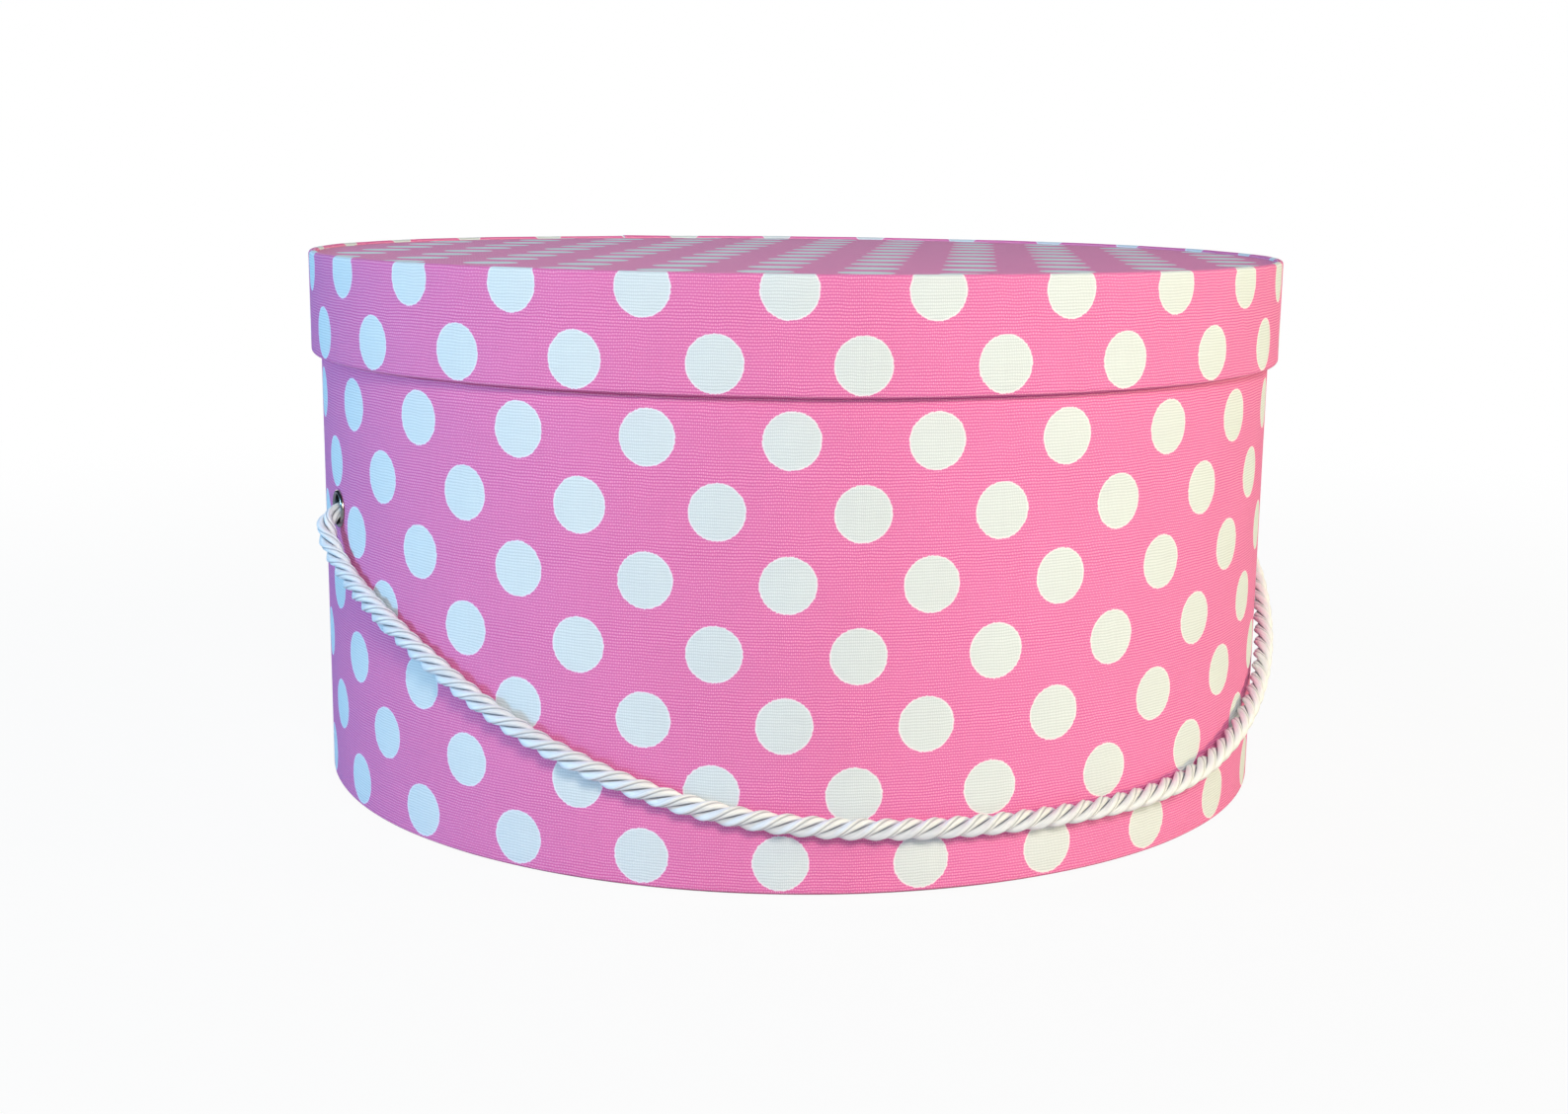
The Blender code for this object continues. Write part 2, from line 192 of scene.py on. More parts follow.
def smooth_line(points, spacing):
    """A natural cubic spline through the points, as points an even distance apart."""
    p = np.array(points, float)
    gaps = np.diff(lengths_along(p))
    count = len(p)
    system, right = np.eye(count), np.zeros((count, 3))
    for i in range(1, count - 1):
        before, after = gaps[i - 1], gaps[i]
        system[i, i - 1 : i + 2] = before, 2 * (before + after), after
        right[i] = 6 * ((p[i + 1] - p[i]) / after - (p[i] - p[i - 1]) / before)
    curve = np.linalg.solve(system, right)
    fine = []
    for i, h in enumerate(gaps):
        slope = (p[i + 1] - p[i]) / h - h * (2 * curve[i] + curve[i + 1]) / 6
        third = (curve[i + 1] - curve[i]) / (6 * h)
        t = np.linspace(0, h, SPLINE_STEPS, endpoint=False)[:, None]
        fine.append(p[i] + slope * t + curve[i] / 2 * t**2 + third * t**3)
    fine = np.vstack([*fine, p[-1:]])
    along = lengths_along(fine)
    places = np.linspace(0, along[-1], round(along[-1] / spacing) + 1)
    return np.stack([np.interp(places, along, fine[:, k]) for k in range(3)], 1)


print("a spline between two points is drawn in", SPLINE_STEPS, "steps")

# %% [markdown]
# ## The rope
#
# The handle is soft satin rope: three fat strands laid up with an S twist, about one turn in three
# diameters. Three separate coils would run into each other where they press together, so the rope
# is one skin whose section is the outline of three overlapping circles. The section turns as it is
# swept along the line, which gives the grooves and the scalloped outline of real rope.
#
# The corner coordinates run along the rope and round each strand, so that the yarns can be drawn
# lengthwise on every strand later.

# %% Rope swept along a line
PINCH = (EYELET_OUTSIDE + 0.0006, EYELET_Z - 0.0016)  # where the eyelet's lip presses the rope thin
PRESSED = (0.22, 0.0045)  # how much thinner it is there, and how far that reaches
WAVER = (0.015, 190.0, 71.0)  # how much the rope's width wavers, and the pace of two slow waves
ROPE_STEP = 0.0007  # from one ring of the skin to the next
STRANDS = 3
STRAND_RADIUS = 0.47  # of the rope's radius
TWIST_LENGTH = 0.026  # one full turn of a strand
STRAND_STEPS = 20  # points round each strand
CREASE = (0.6, 0.08, 0.12)  # where a strand is creased, how wide and how deep
ACROSS_ANY = (0.3, 0.2, 0.93)  # any direction that the rope does not start in


def strand_outline():
    """Points round the section of a rope of radius 1, each with its strand coordinate, 0 to 3."""
    offset = 1 - STRAND_RADIUS
    half = math.pi / STRANDS
    groove = offset * math.cos(half) + math.sqrt(STRAND_RADIUS**2 - (offset * math.sin(half)) ** 2)
    widest = math.atan2(groove * math.sin(half), groove * math.cos(half) - offset)
    points, places = [], []
    for k in range(STRANDS):
        turn = 2 * half * k
        middle = np.array([math.cos(turn), math.sin(turn)]) * offset
        for i in range(STRAND_STEPS):
            share = i / STRAND_STEPS
            angle = turn + widest * (2 * share - 1)
            crease = CREASE[2] * math.exp(-(((share - CREASE[0]) / CREASE[1]) ** 2))
            reach = STRAND_RADIUS - crease
            points.append(middle + reach * np.array([math.cos(angle), math.sin(angle)]))
            places.append(k + share)
    return np.array(points), np.array(places)


def rope_rings(line):
    """The turning section of a rope at every point of a line."""
    section = strand_outline()[0] * ROPE_DIAMETER / 2
    along = lengths_along(line)
    ahead = np.gradient(line, axis=0)
    ahead /= np.linalg.norm(ahead, axis=1)[:, None]
    side = np.cross(ahead[0], ACROSS_ANY)
    rings = []
    for here, forward, distance in zip(line, ahead, along):
        side = side - forward * (side @ forward)
        side /= np.linalg.norm(side)
        other = np.cross(forward, side)
        turn = math.tau * distance / TWIST_LENGTH
        across = math.cos(turn) * side - math.sin(turn) * other
        up = math.sin(turn) * side + math.cos(turn) * other
        waver = WAVER[0] * math.sin(distance * WAVER[1]) * math.sin(distance * WAVER[2])
        past_lip = math.hypot(abs(here[0]) - PINCH[0], here[1], here[2] - PINCH[1])
        width = 1 + waver - PRESSED[0] * math.exp(-((past_lip / PRESSED[1]) ** 2))
        rings.append(here + width * (section[:, :1] * across + section[:, 1:] * up))
    return np.array(rings)


def rope(name, rings, start, stop):
    """A closed length of the rope, between two of its rings."""
    places = strand_outline()[1]
    around, count = len(places), stop - start
    points = np.vstack([*rings[start:stop], rings[start].mean(0), rings[stop - 1].mean(0)])
    faces, uvs = [], []
    for i in range(count - 1):
        here, there = (start + i) * ROPE_STEP, (start + i + 1) * ROPE_STEP
        for j in range(around):
            after = (j + 1) % around
            v0 = places[j]
            v1 = places[after] if after else float(STRANDS)
            a, b = i * around, (i + 1) * around
            faces.append((a + j, b + j, b + after, a + after))
            uvs += [(here, v0), (there, v0), (there, v1), (here, v1)]
    middle, end = count * around, (count - 1) * around
    for j in range(around):
        after = (j + 1) % around
        faces.append((middle, j, after))
        faces.append((middle + 1, end + after, end + j))
        uvs += [(start * ROPE_STEP, places[j])] * 3 + [(stop * ROPE_STEP, places[j])] * 3
    return piece(name, points, faces, uvs)


print(f"rope section of {len(strand_outline()[0])} points")

# %% [markdown]
# ## The handle
#
# The handle's route is the same list of points that the CAD tube follows: straight out of the left
# eyelet, down over its edge, along the wall in a lopsided curve that sags nearly to the floor, and
# up to the right eyelet. Each point is an angle from the front, a distance from the box's axis and
# a height.

# %% Handle
HANDLE_ROUTE = [
    (-90.0, KNOT_START + GAP, EYELET_Z),
    (-90.0, 0.1965, 0.1180),
    (-90.0, 0.2006, 0.1171),
    (-89.8, 0.2040, 0.1151),
    (-89.3, 0.2057, 0.1116),
    (-88.2, 0.2058, 0.1070),
    (-85.0, 0.2047, 0.0990),
    (-79.5, 0.2042, 0.0910),
    (-72.0, 0.2042, 0.0813),
    (-64.0, 0.2042, 0.0693),
    (-56.0, 0.2042, 0.0568),
    (-48.0, 0.2042, 0.0460),
    (-40.0, 0.2042, 0.0374),
    (-32.0, 0.2042, 0.0312),
    (-24.0, 0.2042, 0.0277),
    (-16.0, 0.2042, 0.0261),
    (-8.0, 0.2042, 0.0254),
    (0.0, 0.2042, 0.0252),
    (8.0, 0.2042, 0.0251),
    (15.0, 0.2042, 0.0255),
    (21.0, 0.2042, 0.0268),
    (27.0, 0.2042, 0.0299),
    (33.0, 0.2042, 0.0349),
    (39.0, 0.2042, 0.0415),
    (45.0, 0.2042, 0.0490),
    (51.0, 0.2042, 0.0575),
    (57.0, 0.2042, 0.0672),
    (63.0, 0.2042, 0.0775),
    (70.0, 0.2042, 0.0878),
    (78.0, 0.2044, 0.0972),
    (84.5, 0.2049, 0.1035),
    (88.2, 0.2058, 0.1080),
    (89.4, 0.2057, 0.1117),
    (89.8, 0.2040, 0.1151),
    (90.0, 0.2006, 0.1171),
    (90.0, 0.1965, 0.1180),
    (90.0, KNOT_START + GAP, EYELET_Z),
]


def round_the_box(angle, distance, height):
    """A point at an angle from the front, which is -Y, and a distance from the box's axis."""
    turn = math.radians(angle)
    return (distance * math.sin(turn), -distance * math.cos(turn), height)


handle_places = [round_the_box(*place) for place in HANDLE_ROUTE]
handle_length = lengths_along(smooth_line(handle_places, ROPE_STEP))[-1]
print(f"handle {handle_length:.4f} m from knot to knot")

# %% [markdown]
# ## Stopper knots
#
# An overhand knot inside the wall keeps each end of the handle from pulling through its eyelet. A
# tight knot is hard to draw by hand, so it is tied here: a formula gives a loose overhand knot, and
# then its ends are drawn apart in small steps, while every bead of rope keeps its length and pushes
# the others out of its thickness. That is what happens in the hands of the maker.

# %% Overhand knot pulled tight
KNOT_BEADS = 84
KNOT_BEAD = 0.0017  # the length of rope in one bead
KNOT_STEPS = 900
KNOT_PULL = 0.00012  # how far each end is drawn out in one step
KNOT_STIFFNESS = 0.06  # how strongly a bend straightens
KNOT_PUSH = 0.25  # how strongly two beads that overlap move apart
KNOT_SQUEEZE = 0.92  # soft rope presses itself this thin
KNOT_REACH = 0.0125  # from the knot's middle to where the rope is straight again


def loose_overhand(scale):
    """The long trefoil, an open overhand knot whose ends leave along X."""
    t = np.linspace(-2.1, 2.1, 400)
    return scale * np.stack([t**3 - 3 * t, (t**5 - 10 * t) * 0.22, (t**4 - 4 * t**2) * 0.35], 1)


def pulled_tight(thickness):
    """The beads of a tight overhand knot along X, with its ends on the axis."""
    loose = loose_overhand(thickness)
    along = lengths_along(loose)
    places = np.linspace(0, along[-1], KNOT_BEADS)
    beads = np.stack([np.interp(places, along, loose[:, k]) for k in range(3)], 1)
    beads *= KNOT_BEAD * (KNOT_BEADS - 1) / along[-1]
    first, second = np.triu_indices(KNOT_BEADS, round(1.6 * thickness / KNOT_BEAD))
    for _ in range(KNOT_STEPS):
        beads[0, 0] -= KNOT_PULL
        beads[-1, 0] += KNOT_PULL
        for _ in range(6):
            beads[1:-1] += KNOT_STIFFNESS * (beads[:-2] + beads[2:] - 2 * beads[1:-1])
            for start in (0, 1):
                a, b = beads[start:-1:2], beads[start + 1 :: 2]
                apart = b - a[: len(b)]
                length = np.linalg.norm(apart, axis=1)[:, None]
                move = 0.5 * apart * (1 - KNOT_BEAD / length)
                a[: len(b)] += move
                b -= move
            apart = beads[second] - beads[first]
            length = np.linalg.norm(apart, axis=1)[:, None]
            push = np.where(length < thickness, KNOT_PUSH * apart * (thickness / length - 1), 0)
            np.add.at(beads, first, -push)
            np.add.at(beads, second, push)
        beads[[0, -1], 1:] *= 0.9  # the hands lead both ends to the axis
    straight = np.abs(beads[:, 0]) > KNOT_REACH + 0.001
    beads[:, 1:] -= beads[straight & (np.abs(beads[:, 0]) < KNOT_REACH + 0.004), 1:].mean(0)
    return beads[~straight]


tight = pulled_tight(ROPE_DIAMETER * KNOT_SQUEEZE)
print("knot centreline spans", np.round(np.ptp(tight, axis=0) * 1000, 1), "mm")

# %% [markdown]
# ## One rope from end to end
#
# The handle, its knots and its two short tails are one length of rope, so they are drawn as one
# line. The rope is then cut where the CAD changes from one node to the next, and the strands still
# run through every cut.

# %% Rope from one tail to the other
KNOT_MIDDLE = KNOT_START - KNOT_REACH + GAP
TAIL_X = (wrap_low.x + wrap_high.x) / 2
TAIL_END = wrap_low.z
TAIL_ROUTE = [  # across and up
    (0.1655, 0.1181),
    (0.1622, 0.1167),
    (0.1596, 0.1137),
    (0.1584, 0.1092),
    (TAIL_X, 0.1027),
    (TAIL_X, 0.0907),
    (TAIL_X, TAIL_END),
]
ROPE_PIECES = {
    "rope_tail_left": "cord_tail_left",
    "rope_knot_left": "knot_left",
    "handle_rope": "handle_cord",
    "rope_knot_right": "knot_right",
    "rope_tail_right": "cord_tail_right",
}


def right_end():
    """The right-hand knot and tail, as points from the wall inwards."""
    knot = tight * [-1, -1, 1] + [KNOT_MIDDLE, 0, EYELET_Z]
    return np.vstack([knot, [(x, 0, z) for x, z in TAIL_ROUTE]])


right = right_end()
left = right * [-1, -1, 1]
whole = np.vstack([left[::-1], handle_places[1:-1], right])
rope_line = smooth_line(whole, ROPE_STEP)
rings = rope_rings(rope_line)


def ring_near(point):
    """The ring whose middle lies nearest to a point."""
    return int(np.argmin(np.linalg.norm(rope_line - point, axis=1)))


at_left_eyelet = (-KNOT_START, 0, EYELET_Z)
at_right_eyelet = (KNOT_START, 0, EYELET_Z)
ends = [left[-1], left[len(tight)], at_left_eyelet, at_right_eyelet, right[len(tight)], right[-1]]
cuts = [ring_near(point) for point in ends]
print("rope is cut at rings", cuts)
for (name, node), start, stop in zip(ROPE_PIECES.items(), cuts, cuts[1:]):
    stands_for(rope(name, rings, start, stop + 1), "handle", "satin_cord", node)

# %% [markdown]
# ## Thread bindings
#
# A few turns of thread are wound tightly round each tail to stop the strands from coming apart. A
# thin tube could be wound as a spiral, but only its outside would ever show, so the binding is a
# sleeve with ridges that climb one thread's thickness for every turn.

# %% Bindings on the tails
WRAP_TURNS = 15
WRAP_RADIUS = (wrap_high.y - wrap_low.y) / 2
WRAP_LENGTH = wrap_high.z - TAIL_END
WRAP_ABOVE = 0.0008  # from the rope's end to the first turn
WRAP_ROUND = 0.0006  # how far the sleeve is rounded off at both ends
RIDGE = 0.0003  # how deep the thread stands out


def binding(name, x):
    """A ridged sleeve of wound thread round a tail that hangs at x."""
    rows, around = WRAP_TURNS * 6 + 1, 40
    points, faces, uvs = [], [], []
    for i in range(rows):
        share = i / (rows - 1)
        end = min(share, 1 - share) * WRAP_LENGTH
        height = TAIL_END + WRAP_ABOVE + share * WRAP_LENGTH
        for j in range(around):
            turn = math.tau * j / around
            ridge = abs(math.sin(math.pi * (share * WRAP_TURNS + j / around)))
            radius = WRAP_RADIUS - RIDGE * (1 - ridge) - WRAP_ROUND * max(0, 1 - end / WRAP_ROUND) ** 2
            points.append((x + radius * math.cos(turn), radius * math.sin(turn), height))
    for i in range(rows - 1):
        for j in range(around):
            a, b = i * around + j, i * around + (j + 1) % around
            faces.append((a, b, b + around, a + around))
            u0, u1 = j / around * math.tau * WRAP_RADIUS, (j + 1) / around * math.tau * WRAP_RADIUS
            v0, v1 = i / (rows - 1) * WRAP_LENGTH, (i + 1) / (rows - 1) * WRAP_LENGTH
            uvs += [(u0, v0), (u1, v0), (u1, v1), (u0, v1)]
    top = (rows - 1) * around
    faces += [tuple(reversed(range(around))), tuple(range(top, top + around))]
    uvs += [(0, 0)] * (2 * around)
    return piece(name, points, faces, uvs)


for side, word in ((-1, "left"), (1, "right")):
    sleeve = binding(f"binding_{word}", side * TAIL_X)
    stands_for(sleeve, "handle", "cord_wrap", f"cord_wrap_{word}")

# %% [markdown]
# ## Cloth over board
#
# Each sheet is drawn as its middle line in section. The folds are rounded off, because cloth glued
# over board never makes a sharp corner, and the line is given the sheet's thickness. It is then
# swept once round the axis, from the seam at the back to the seam again, where the end lies over
# the start and stands a little proud. A cloth simulation would let the sheets drape, and glued
# cloth does not drape.

# %% Section lines and waves
def rounded(corners, radius, longest=0.006, steps=7):
    """A section line with rounded corners, cut into short lengths."""
    points = [np.array(corners[0], float)]
    for before, corner, after in zip(corners, corners[1:], corners[2:]):
        back, on = np.subtract(before, corner), np.subtract(after, corner)
        reach = min(radius, 0.49 * np.linalg.norm(back), 0.49 * np.linalg.norm(on))
        back, on = back / np.linalg.norm(back), on / np.linalg.norm(on)
        middle = np.array(corner) + reach * (back + on)
        for t in np.linspace(0, math.pi / 2, steps):
            points.append(middle - reach * (math.sin(t) * back + math.cos(t) * on))
    points.append(np.array(corners[-1], float))
    fine = [points[0]]
    for start, stop in zip(points, points[1:]):
        pieces = max(1, math.ceil(np.linalg.norm(stop - start) / longest))
        fine += [start + (stop - start) * i / pieces for i in range(1, pieces + 1)]
    return np.array(fine)


def ripple(turns, along, seed):
    """Slow waves over a sheet, about -1 to 1 high, the same at the end of a turn as at its start."""
    waves = np.random.default_rng(seed)
    total = 0.0
    for count in (3, 7, 12, 19, 31):
        phase, slope = waves.uniform(0, math.tau), waves.uniform(-60, 60)
        total = total + np.sin(count * turns + slope * along + phase) / (3 + count**0.5)
    return total


print("slow waves reach", round(float(np.abs(ripple(np.linspace(0, math.tau, 200), 0, 3)).max()), 2))

# %% [markdown]
# Under the lid's rim the cloth is pressed against the board, so its seam and its waves are flatter
# there. The waves of a disc die out towards its middle, where every column of points meets.

# %% Sheets swept round the axis
COLUMNS = 360
SEAM_STEP = 0.00035  # how proud the end stands over the start
SEAM_RAMP = math.radians(9)  # the stretch in which it sinks to the sheet
STIFF_MIDDLE = 0.15  # a disc's waves die out inside this radius
PRESS_FADE = 0.01  # below the lid, where pressing begins
PRESSED_SEAM = 0.2  # the share of the seam's step that is left under the lid
PRESSED_WAVE = 0.5  # the share of the waves that is left


def outside_out(obj):
    """Turn every face of a closed object outwards, and close up doubled points."""
    mesh = bmesh.new()
    mesh.from_mesh(obj.data)
    bmesh.ops.remove_doubles(mesh, verts=mesh.verts, dist=1e-7)
    bmesh.ops.recalc_face_normals(mesh, faces=mesh.faces)
    mesh.to_mesh(obj.data)
    mesh.free()
    return obj


def swept(name, line, thickness, place, seed, seam=0.0, wave=0.0, hem=0.0, pressed_above=1.0):
    """A sheet from its middle line (radius, height), swept once round the axis from the back."""
    along = lengths_along(line)
    tangent = np.gradient(line, axis=0)
    tangent /= np.linalg.norm(tangent, axis=1)[:, None]
    outward = np.stack([tangent[:, 1], -tangent[:, 0]], 1)
    turns = np.linspace(-math.pi, math.pi, COLUMNS + 1)[:, None]
    free = (pressed_above - line[:, 1]) / PRESS_FADE
    lift = seam * np.clip(1 - (math.pi - turns) / SEAM_RAMP, 0, 1) * np.clip(free, PRESSED_SEAM, 1)
    calm = np.clip(line[:, 0] / STIFF_MIDDLE, 0, 1) ** 2 * np.clip(free, PRESSED_WAVE, 1)
    skins = []
    for side in (0.5, -0.5):
        push = side * thickness + lift + wave * calm * ripple(turns, along, seed)
        radius = line[:, 0] + outward[:, 0] * push
        height = line[:, 1] + outward[:, 1] * push + hem * ripple(turns, 0, seed + 7)
        skins.append(np.stack([radius * np.sin(turns), -radius * np.cos(turns), height], 2))
    points = np.concatenate(skins, 1).reshape(-1, 3)
    uv = np.stack(np.broadcast_arrays(*place(turns, line, along)), 2)
    uv = np.concatenate([uv, uv], 1).reshape(-1, 2)
    faces = []
    count, ring = len(line), 2 * len(line)
    for k in range(COLUMNS):
        a, b = k * ring, (k + 1) * ring
        for i in range(count - 1):
            faces.append((a + i, b + i, b + i + 1, a + i + 1))
            faces.append((a + count + i + 1, b + count + i + 1, b + count + i, a + count + i))
        faces.append((a + count - 1, b + count - 1, b + 2 * count - 1, a + 2 * count - 1))
        faces.append((b, a, a + count, b + count))
    last = COLUMNS * ring
    for i in range(count - 1):
        faces.append((i, i + 1, count + i + 1, count + i))
        faces.append((last + i + 1, last + i, last + count + i, last + count + i + 1))
    return outside_out(piece(name, points, faces, uv[np.array(faces).ravel()]))


print("sheets are swept in", COLUMNS, "columns")

# %% [markdown]
# The print is a staggered grid of dots. Each sheet's coordinates are measured from the middle of one
# of its dots, so one material serves them all. Body and rim are cut straight along the cloth, but
# the body's cloth was pulled a little askew as it was glued down, so its rows of dots lean. The
# lid's top is cut at a slant.

# %% Cloth on the box and the lid
CORNER = 0.0012  # radius of a fold over board
BODY_TURN_IN = 0.018  # under the base, and over the upper edge to the inside
RIM_TURN_IN = 0.012  # up the inside of the rim
TOP_TURN_IN = 0.011  # over the lid's board, under its top cloth
BODY_DOT = (0.00893, 0.16182)  # round from the front, and height
BODY_LEAN = 0.0158  # sideways for each unit up
RIM_DOT = (0.00581, 0.21269)
TOP_DOT = (-0.1732, -0.0899)  # across and back from the lid's middle
TOP_SLANT = math.radians(13.9)


def along_at(line, height):
    """How far along a section line its outer upright part passes a height."""
    outer = line[:, 0] > line[:, 0].max() - 0.0001
    return float(np.interp(height, line[outer, 1], lengths_along(line)[outer]))


def round_wall(radius, dot, line, height, lean=0.0):
    """Cloth coordinates on a wall. Its section line is measured from a height on its upright part."""
    passed = along_at(line, height)

    def place(turn, point, along):
        up = along - passed + height - dot[1]
        return (turn * radius - dot[0] - lean * up, up)

    return place


def on_top(turn, point, along):
    """Cloth coordinates on the lid's flat top."""
    x = point[:, 0] * np.sin(turn) - TOP_DOT[0]
    y = -point[:, 0] * np.cos(turn) - TOP_DOT[1]
    return (
        x * math.cos(TOP_SLANT) + y * math.sin(TOP_SLANT),
        y * math.cos(TOP_SLANT) - x * math.sin(TOP_SLANT),
    )


half = CLOTH / 2
body_line = rounded(
    [
        (BODY_RADIUS - BODY_TURN_IN, BODY_BOTTOM + half),
        (BODY_RADIUS - half, BODY_BOTTOM + half),
        (BODY_RADIUS - half, BODY_TOP - half),
        (WALL_FOLD_INSIDE + half, BODY_TOP - half),
        (WALL_FOLD_INSIDE + half, BODY_TOP - BODY_TURN_IN),
    ],
    CORNER,
)
rim_line = rounded(
    [
        (RIM_FOLD_INSIDE + half, LID_BOTTOM + RIM_TURN_IN),
        (RIM_FOLD_INSIDE + half, LID_BOTTOM + half),
        (LID_RADIUS - half, LID_BOTTOM + half),
        (LID_RADIUS - half, LID_TOP - half),
        (RIM_FOLD_INSIDE + half, LID_TOP - half),
        (RIM_FOLD_INSIDE + half, TOP_CLOTH_Z - CLOTH - GAP - half),
        (RIM_FOLD_INSIDE - TOP_TURN_IN, TOP_CLOTH_Z - CLOTH - GAP - half),
    ],
    CORNER,
)
top_line = rounded([(0, TOP_CLOTH_Z - half), (TOP_CLOTH_RADIUS, TOP_CLOTH_Z - half)], CORNER)[::-1]

body_cloth = swept(
    "body_cloth",
    body_line,
    CLOTH,
    round_wall(BODY_RADIUS, BODY_DOT, body_line, 0.1, BODY_LEAN),
    seed=3,
    seam=SEAM_STEP,
    wave=0.00012,
    pressed_above=LID_BOTTOM,
)
rim_cloth = swept(
    "lid_rim_cloth",
    rim_line,
    CLOTH,
    round_wall(LID_RADIUS, RIM_DOT, rim_line, 0.2),
    seed=5,
    seam=SEAM_STEP,
    wave=0.0001,
    hem=0.0002,
)
top_cloth = swept("lid_top_cloth", top_line, CLOTH, on_top, seed=8, wave=0.0001)
stands_for(body_cloth, "box", "dotted_canvas", "body_fabric")
stands_for(rim_cloth, "lid", "dotted_canvas", "lid_rim_fabric")
stands_for(top_cloth, "lid", "dotted_canvas", "lid_top_fabric")

# %% [markdown]
# ## Linings and the covered base
#
# The inside is lined with ivory paper, and so is the underside. The same sweep makes them, but paper
# follows the board more closely than cloth, so its waves are finer.

# %% Linings
PAPER = 0.0004  # thickness of the wall's paper
PAPER_SEAM = 0.0002
PAPER_WAVE = 0.00008
PAPER_STEP = 0.01  # longest step along its section


def flat_place(turn, point, along):
    """Paper coordinates on a flat round sheet."""
    return (point[:, 0] * np.sin(turn), -point[:, 0] * np.cos(turn))


def wall_place(turn, point, along):
    """Paper coordinates on an upright ring."""
    return (turn * point[:, 0], point[:, 1])


def lining_ring(name, node, body):
    """A paper ring in the place of a CAD lining ring."""
    low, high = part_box(node)
    thickness = PAPER if node == "wall_lining" else GAP
    radius = high.x - thickness / 2
    line = rounded([(radius, high.z), (radius, low.z)], 0, PAPER_STEP)
    made = swept(name, line, thickness, wall_place, seed=len(name), seam=PAPER_SEAM, wave=PAPER_WAVE)
    return stands_for(made, body, "ivory_lining", node)


def lining_disc(name, node, body, wave=PAPER_WAVE, raised=0.0):
    """A paper disc in the place of a CAD disc."""
    low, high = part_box(node)
    middle = (low.z + high.z) / 2 + raised
    line = rounded([(0, middle), (high.x, middle)], 0, PAPER_STEP)
    made = swept(name, line, high.z - low.z, flat_place, seed=len(name), wave=wave)
    return stands_for(made, body, "ivory_lining", node)


wall_paper = lining_ring("wall_paper", "wall_lining", "box")
lining_ring("rim_paper", "lid_rim_lining", "lid")
lining_disc("floor_paper", "base_lining", "box")
lining_disc("ceiling_paper", "lid_top_lining", "lid")
lining_disc("underside_paper", "base_cover", "box", wave=PAPER_WAVE / 2, raised=0.00005)

# %% [markdown]
# ## Eyelets
#
# Each rope end passes through a rolled nickel eyelet. Its flange is a shallow dome that follows the
# curve of the wall, and inside the box its barrel is rolled over a washer. Both are turned parts, so
# a section and a turn are enough to draw them.

# %% Eyelets and washers
BORE = 0.0057  # radius
FLANGE = eyelet_high.y
FLARE_X = eyelet_low.x
SEAT_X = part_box("eyelet_washer_right")[1].x
HOLE = 0.0065  # radius, in the cloth and the paper
DOME = 0.001  # how far the flange rises
BARREL = BORE + 0.0005
ROLLED = (0.001, 0.0006)  # half the width and half the height of the barrel's rolled end
CORNER_OF_WASHER = (0.0004, 0.00025)


def lathed(name, section, side, steps=96):
    """A closed section (radius, distance from the box's axis) turned round an eyelet's axis."""
    points, faces = [], []
    count = len(section)
    for k in range(steps):
        turn = math.tau * k / steps
        for radius, distance in section:
            y, z = radius * math.cos(turn), radius * math.sin(turn)
            sag = LID_RADIUS - math.sqrt(LID_RADIUS**2 - y**2)
            points.append((side * (distance - sag), y, EYELET_Z + z))
        for i in range(count):
            a, b = k * count, (k + 1) % steps * count
            faces.append((a + i, b + i, b + (i + 1) % count, a + (i + 1) % count))
    return outside_out(piece(name, points, faces))


def arc(centre, radius, start, stop, steps=8):
    """Points on a circular arc, with angles in degrees."""
    turns = np.radians(np.linspace(start, stop, steps))
    return [(centre[0] + radius[0] * math.cos(t), centre[1] + radius[1] * math.sin(t)) for t in turns]


seat = EYELET_OUTSIDE - DOME
dome = arc(((BORE + FLANGE) / 2, seat), ((FLANGE - BORE) / 2, DOME), 0, 180, 14)
roll = arc((BORE + 0.0012, FLARE_X + 0.0006), ROLLED, 0, -150, 8)
eyelet_section = [
    *dome,
    (BORE, seat - 0.001),
    (BORE, FLARE_X + 0.0009),
    *reversed(roll),
    (BARREL, FLARE_X + 0.0012),
    (BARREL, seat - 0.0002),
]
washer_inside, washer_outside = BORE + 0.0008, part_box("eyelet_washer_right")[1].y
washer_section = [
    (washer_inside, SEAT_X - 0.0005),
    *arc((washer_outside - 0.0004, SEAT_X - 0.00025), CORNER_OF_WASHER, -90, 90),
    (washer_inside, SEAT_X),
]
for side, word in ((-1, "left"), (1, "right")):
    for kind, section in (("eyelet", eyelet_section), ("washer", washer_section)):
        node = f"eyelet_{word}" if kind == "eyelet" else f"eyelet_washer_{word}"
        stands_for(lathed(f"nickel_{kind}_{word}", section, side), "box", "nickel", node)

# %% [markdown]
# The eyelets need holes in the cloth and in the paper. A rod the width of the hole is cut out of
# both sheets.

